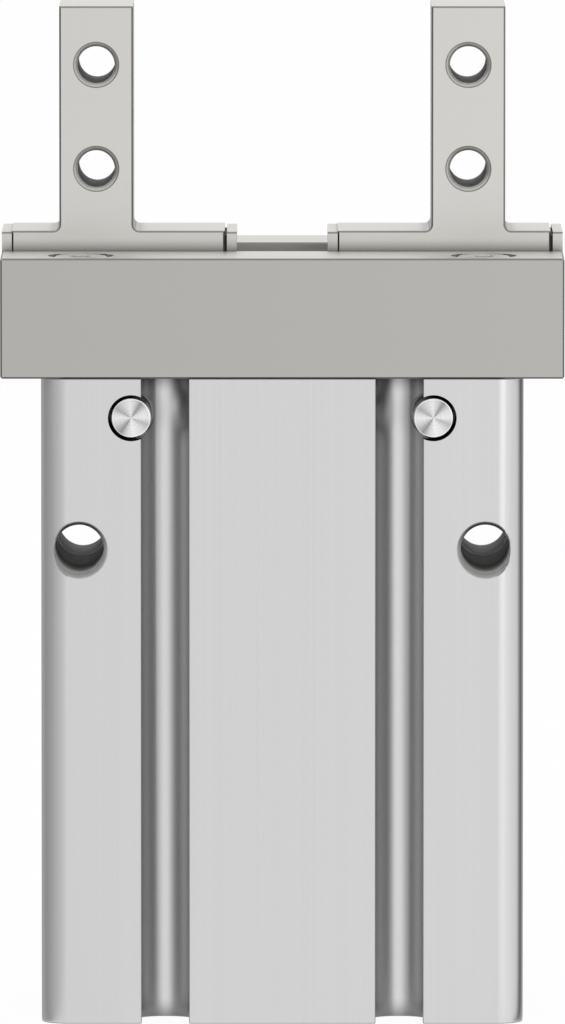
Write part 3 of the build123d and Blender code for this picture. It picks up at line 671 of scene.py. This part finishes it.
class GRIPPER_OT_guide_block(bpy.types.Operator):
    """Finish the ground guide block"""

    bl_idname = "gripper.guide_block"
    bl_label = "Guide block"

    def execute(self, context):
        colour = colours().block
        grain = (0.25, 6.0, 6.0)
        ground = metal("ground_steel", colour, 1.0, 0.42, grain, variation=0.01)
        # Painted shade: the block's broken edges and chamfers take a darker copy of its colour
        edge = metal("ground_steel_edge", darker(colour, colours().edge_shade_tone), 1.0, 0.45, grain)
        # Painted light: the top faces take a lighter copy of the block's colour, with painted shade near
        # the jaws and screws
        top = metal(
            "ground_steel_lit_top", darker(colour, 1.36), 1.0, 0.42, grain, variation=0.01, crevice=0.35 * MM
        )
        finishes = (ground, edge, top)
        mesh = merged_mesh("guide_block")
        mark_chamfers(mesh)
        # The lighter, painted top material goes on the faces that look up
        for face in mesh.faces:
            if face.normal.z > FACE_TILT:
                face.material_index = finishes.index(top)
        finished_piece("ground_guide_block", "guide_block", mesh, finishes)
        return {"FINISHED"}


class GRIPPER_OT_jaws(bpy.types.Operator):
    """Finish the two jaws and their end plates"""

    bl_idname = "gripper.jaws"
    bl_label = "Jaws and end plates"

    def execute(self, context):
        colour = colours().jaw
        grain = (6.0, 6.0, 0.3)
        # Painted shade: the jaws darken where another surface comes close, as at the seam with the block
        face = metal("jaw_steel", colour, 1.0, 0.40, grain, variation=0.01, crevice=0.9 * MM)
        # Painted shade: the jaws' and plates' edges and chamfers take a darker copy of their colour
        edge = metal("jaw_steel_edge", darker(colour, 0.85 * colours().edge_shade_tone), 1.0, 0.45, grain)
        # Painted shade: the finger holes' walls and rims take darker colours for the shade in the holes
        wall = plain("tapped_finger_wall", darker(colours().bore_shade, 0.55), 0.6)
        rim = metal("finger_hole_rim", darker(colour, 0.8), 1.0, 0.30, (4.0, 4.0, 4.0))
        finishes = (face, edge, wall, rim)
        for side in SIDES:
            mesh = merged_mesh(f"jaw_{side}")
            places, radius = threads(f"jaw_{side}_finger_threads")
            break_edges(mesh, sizes().rim_edge, segments=1, wanted=rim_of(places, radius + RIM_NEAR))
            mark_chamfers(mesh)
            reach = radius + RELIEF_STEP
            shade_bores(mesh, places, reach, finishes.index(wall), rim=finishes.index(rim))
            finished_piece(f"ground_jaw_{side}", f"jaw_{side}", mesh, finishes)
            for end in ("outer", "inner"):
                node = f"jaw_{side}_{end}_plate"
                mesh = merged_mesh(node)
                mark_chamfers(mesh)
                finished_piece(f"end_plate_{side}_{end}", node, mesh, (face, edge))
        return {"FINISHED"}


class GRIPPER_OT_pins(bpy.types.Operator):
    """Finish the lever pins with their turned ends"""

    bl_idname = "gripper.pins"
    bl_label = "Lever pins"

    def execute(self, context):
        turned = turned_end("turned_pin", colours().pin, (PIN_X, PIN_Z), sizes().rings)
        # Painted highlight: the pins' rounded edges take a slightly lighter copy of the pins' colour
        edge = metal("pin_edge", darker(colours().pin, 1.05), 1.0, 0.25, (4.0, 4.0, 4.0))
        for side in SIDES:
            node = f"pivot_pin_{side}"
            mesh = merged_mesh(node)
            break_edges(mesh, sizes().steel_edge, least_angle=40.0)
            finished_piece(f"turned_pin_{side}", node, mesh, (turned, edge))
        return {"FINISHED"}


class GRIPPER_OT_screws(bpy.types.Operator):
    """Finish the socket head screws and the plates' screws"""

    bl_idname = "gripper.screws"
    bl_label = "Screws"

    def execute(self, context):
        plated = metal("plated_steel", colours().screw, 1.0, 0.35, (5.0, 5.0, 5.0), variation=0.04)
        # Painted shade: the screws' broken edges take a darker copy of their colour
        edge = metal("plated_steel_edge", darker(colours().screw, 0.8), 1.0, 0.35, (5.0, 5.0, 5.0))
        nodes = {"guide_screws": "cap_screws", "piston_screw": "piston_cap_screw"}
        for side in SIDES:
            nodes[f"jaw_{side}_plate_screws"] = f"countersunk_screws_{side}"
        for node, name in nodes.items():
            mesh = merged_mesh(node)
            break_edges(mesh, sizes().steel_edge, segments=1, least_angle=40.0)
            finished_piece(name, node, mesh, (plated, edge))
        return {"FINISHED"}


class GRIPPER_OT_cylinder_parts(bpy.types.Operator):
    """Finish the piston, its rings, the end cap and what seals them"""

    bl_idname = "gripper.cylinder_parts"
    bl_label = "Cylinder parts"

    def execute(self, context):
        lathe = metal("turned_aluminium", (0.72, 0.73, 0.74), 0.9, 0.32, (1.0, 1.0, 8.0))
        rubber = plain("nitrile_rubber", (0.025, 0.025, 0.026), 0.6)
        soft = plain("polyurethane", (0.24, 0.25, 0.12), 0.5)
        spring = plain("phosphated_steel", (0.10, 0.10, 0.105), 0.45, metallic=0.7)
        magnet = plain("bonded_magnet", (0.045, 0.045, 0.05), 0.55)
        filled = plain("filled_plastic", (0.62, 0.56, 0.44), 0.5)
        bronze = metal("sintered_bronze", (0.60, 0.42, 0.20), 1.0, 0.4, (6.0, 6.0, 6.0), variation=0.08)
        finishes = {
            "end_cap": lathe, "piston_upper": lathe, "piston_lower": lathe, "seal_retainer": lathe,
            "jaw_left_wiper": rubber, "jaw_right_wiper": rubber, "cap_seal_ring": rubber,
            "rod_seal": rubber, "piston_seal_upper": rubber, "piston_seal_lower": rubber,
            "upper_bumper": soft, "lower_bumper": soft,
            "retaining_ring": spring, "piston_magnet": magnet, "piston_guide_ring": filled,
            "rod_bush": bronze, "lever_bush_left": bronze, "lever_bush_right": bronze,
        }
        for node, material in finishes.items():
            dress_node(node, material)
        return {"FINISHED"}


class GRIPPER_OT_drive_parts(bpy.types.Operator):
    """Finish the rod, the spool, the levers and the balls"""

    bl_idname = "gripper.drive_parts"
    bl_label = "Drive parts"

    def execute(self, context):
        chrome = metal("hard_chrome", (0.78, 0.78, 0.79), 1.0, 0.12, (6.0, 6.0, 0.5), variation=0.01)
        hardened = metal("hardened_steel", (0.42, 0.41, 0.40), 1.0, 0.32, (5.0, 0.4, 5.0), variation=0.05)
        polished = metal("bearing_steel", (0.80, 0.80, 0.80), 1.0, 0.08, (3.0, 3.0, 3.0), variation=0.01)
        dress_node("piston_rod", chrome)
        dress_node("drive_spool", hardened)
        for side in SIDES:
            dress_node(f"lever_{side}", hardened)
            dress_node(f"jaw_{side}_balls", polished)
        return {"FINISHED"}


# Photograph's height and scale, the lens, and where the picture's middle falls on the body's front
PHOTO_HEIGHT = 1024
PIXELS_PER_MM = 14.837
CAMERA_DISTANCE = 1.04
CAMERA_PITCH = math.radians(5.15)
MIDDLE_HEIGHT = 34.74 * MM
MIDDLE_SIDE = 0.015 * MM
SENSOR = 36.0

# Strength of the room's light on matt surfaces, and how much of the floor is seen as plain white
ROOM_LIGHT = 0.85
FLOOR_GLOW = 0.96

# Height of a direction, as a sine, up to which the flags reach, and from which the ceiling is white
FLAG_TOP = 0.15
CEILING = 0.55


def add_camera():
    """A long lens in front of the gripper, looking slightly down."""
    data = bpy.data.cameras.new("photo_camera")
    data.sensor_width = SENSOR
    field = PHOTO_HEIGHT / PIXELS_PER_MM * MM
    data.lens = SENSOR * CAMERA_DISTANCE / field
    data.clip_start = 0.1
    data.clip_end = 50.0
    camera = bpy.data.objects.new("photo_camera", data)
    bpy.context.scene.collection.objects.link(camera)
    back = Vector((0, -math.cos(CAMERA_PITCH), math.sin(CAMERA_PITCH)))
    target = Vector((MIDDLE_SIDE, BODY_LOW.y, MIDDLE_HEIGHT))
    camera.location = target + back * CAMERA_DISTANCE
    camera.rotation_euler = (-back).to_track_quat("-Z", "Y").to_euler()
    bpy.context.scene.camera = camera


def add_softbox(name, place, target, width, height, power):
    """A rectangular lamp that points at a target."""
    data = bpy.data.lights.new(name, "AREA")
    data.shape = "RECTANGLE"
    data.size = width
    data.size_y = height
    data.energy = power
    lamp = bpy.data.objects.new(name, data)
    bpy.context.scene.collection.objects.link(lamp)
    lamp.location = place
    lamp.rotation_euler = (Vector(target) - Vector(place)).to_track_quat("-Z", "Y").to_euler()


def light_path(nodes, links, kinds):
    """1 for rays of any of some kinds, and 0 for others."""
    path = add_node(nodes, "ShaderNodeLightPath")
    found = path.outputs[kinds[0]]
    for kind in kinds[1:]:
        found = worked_out(nodes, links, "MAXIMUM", found, path.outputs[kind])
    return found


# Brightness of the studio round the gripper: a share of a turn from the back over the left side,
# the front and the right side to the back again, where 0.5 is the front
STUDIO_TONES = (
    (0.00, 1.00), (0.02, 0.95), (0.06, 0.35), (0.12, 0.50), (0.19, 0.28), (0.25, 0.42), (0.32, 0.53),
    (0.42, 0.70), (0.48, 0.94), (0.60, 1.08), (0.70, 0.97), (0.78, 0.92), (0.81, 0.30), (0.83, 0.03),
    (0.87, 0.03), (0.90, 0.40), (0.95, 0.50), (0.98, 1.00),
)


def studio_tone(nodes, links, direction):
    """Brightness of the studio in a direction from the gripper, with grey flags left and back right."""
    split = add_node(nodes, "ShaderNodeSeparateXYZ")
    links.new(direction, split.inputs["Vector"])
    front = worked_out(nodes, links, "MULTIPLY", split.outputs["Y"], -1.0)
    angle = worked_out(nodes, links, "ARCTAN2", split.outputs["X"], front)
    turn = remapped(nodes, links, angle, -math.pi, math.pi, 0.0, 1.0)
    tone = tone_ramp(nodes, links, turn, STUDIO_TONES)
    height = remapped(
        nodes, links, split.outputs["Z"], FLAG_TOP, CEILING, 0.0, 1.0, interpolation_type="SMOOTHSTEP"
    )
    return mix_value(nodes, links, height, tone, 1.0)


def studio_brightness(nodes, links, direction, room):
    """White as seen directly, the studio's tones in metal, and a plain room for other light."""
    tone = studio_tone(nodes, links, direction)
    direct = light_path(nodes, links, ("Is Camera Ray", "Is Transmission Ray"))
    seen = light_path(nodes, links, ("Is Camera Ray", "Is Glossy Ray", "Is Transmission Ray"))
    backdrop = mix_value(nodes, links, direct, tone, 1.0)
    return mix_value(nodes, links, seen, room, backdrop)


def add_world():
    """A studio room: white where it is seen, and toned round the gripper as metal shows it."""
    world = bpy.data.worlds.new("studio")
    bpy.context.scene.world = world
    world.use_nodes = True
    nodes, links = world.node_tree.nodes, world.node_tree.links
    nodes.clear()
    place = add_node(nodes, "ShaderNodeTexCoord")
    background = add_node(nodes, "ShaderNodeBackground")
    background.inputs["Color"].default_value = (1, 1, 1, 1)
    strength = studio_brightness(nodes, links, place.outputs["Generated"], ROOM_LIGHT)
    links.new(strength, background.inputs["Strength"])
    output = add_node(nodes, "ShaderNodeOutputWorld")
    links.new(background.outputs[0], output.inputs["Surface"])


def from_footprint(nodes, links):
    """Direction of a place on the floor from the nearest point of the body's front edge."""
    place = add_node(nodes, "ShaderNodeTexCoord").outputs["Object"]
    nearest = place
    for operation, x in (("MAXIMUM", BODY_LOW.x), ("MINIMUM", BODY_HIGH.x)):
        limit = add_node(nodes, "ShaderNodeVectorMath", operation=operation)
        limit.inputs[1].default_value = (x, BODY_LOW.y, 0)
        links.new(nearest, limit.inputs[0])
        nearest = limit.outputs["Vector"]
    away = add_node(nodes, "ShaderNodeVectorMath", operation="SUBTRACT")
    links.new(place, away.inputs[0])
    links.new(nearest, away.inputs[1])
    return away.outputs["Vector"]


def floor_material():
    """A white floor that takes a soft shadow and looks white from the camera."""
    material, nodes, links = new_material("studio_floor")
    shader = nodes["Principled BSDF"]
    shader.inputs["Base Color"].default_value = (*colours().floor, 1)
    shader.inputs["Roughness"].default_value = 0.8
    shader.inputs["Specular IOR Level"].default_value = 0.0
    glow = add_node(nodes, "ShaderNodeEmission")
    strength = studio_brightness(nodes, links, from_footprint(nodes, links), 0.0)
    links.new(strength, glow.inputs["Strength"])
    seen = light_path(nodes, links, ("Is Camera Ray", "Is Glossy Ray", "Is Transmission Ray"))
    share = mix_value(nodes, links, seen, 0.0, FLOOR_GLOW)
    mix = add_node(nodes, "ShaderNodeMixShader")
    links.new(share, mix.inputs["Fac"])
    links.new(shader.outputs[0], mix.inputs[1])
    links.new(glow.outputs[0], mix.inputs[2])
    links.new(mix.outputs[0], nodes["Material Output"].inputs["Surface"])
    return material


def add_floor():
    """A large flat floor under the gripper."""
    mesh = bmesh.new()
    bmesh.ops.create_grid(mesh, x_segments=1, y_segments=1, size=sizes().floor / 2)
    data = bpy.data.meshes.new("studio_floor")
    mesh.to_mesh(data)
    mesh.free()
    data.materials.append(floor_material())
    floor = bpy.data.objects.new("studio_floor", data)
    bpy.context.scene.collection.objects.link(floor)


class GRIPPER_OT_stage(bpy.types.Operator):
    """Set up the floor, the room, the lamps and the camera"""

    bl_idname = "gripper.stage"
    bl_label = "Studio stage"

    def execute(self, context):
        context.scene.view_settings.view_transform = "Standard"
        middle = (0, 0, (CAD_BOX[0].z + CAD_BOX[1].z) / 2)
        add_floor()
        add_world()
        add_softbox("key_softbox", (0.26, -0.52, 0.16), middle, 0.25, 0.40, 0.24)
        add_softbox("top_softbox", (0.0, 0.10, 0.80), middle, 0.6, 0.5, 0.3)
        add_camera()
        return {"FINISHED"}


OPERATORS = (
    GRIPPER_OT_body,
    GRIPPER_OT_guide_block,
    GRIPPER_OT_jaws,
    GRIPPER_OT_pins,
    GRIPPER_OT_screws,
    GRIPPER_OT_cylinder_parts,
    GRIPPER_OT_drive_parts,
    GRIPPER_OT_stage,
)


class GRIPPER_PT_panel(bpy.types.Panel):
    """Lists the gripper's finishes and its stage"""

    bl_idname = "GRIPPER_PT_panel"
    bl_label = "Parallel gripper"
    bl_space_type = "VIEW_3D"
    bl_region_type = "UI"
    bl_category = "Gripper"

    def draw(self, context):
        for group in (context.scene.gripper_sizes, context.scene.gripper_colours):
            for name in group.__annotations__:
                self.layout.prop(group, name)
        for operator in OPERATORS:
            self.layout.operator(operator.bl_idname)


CLASSES = (GripperSizes, GripperColours, *OPERATORS, GRIPPER_PT_panel)


def register():
    for entry in CLASSES:
        bpy.utils.register_class(entry)
    bpy.types.Scene.gripper_sizes = bpy.props.PointerProperty(type=GripperSizes)
    bpy.types.Scene.gripper_colours = bpy.props.PointerProperty(type=GripperColours)


def unregister():
    del bpy.types.Scene.gripper_colours
    del bpy.types.Scene.gripper_sizes
    for entry in reversed(CLASSES):
        bpy.utils.unregister_class(entry)


def main():
    register()
    bpy.ops.gripper.body()
    bpy.ops.gripper.guide_block()
    bpy.ops.gripper.jaws()
    bpy.ops.gripper.pins()
    bpy.ops.gripper.screws()
    bpy.ops.gripper.cylinder_parts()
    bpy.ops.gripper.drive_parts()
    bpy.ops.gripper.stage()


if __name__ == "__main__":
    main()
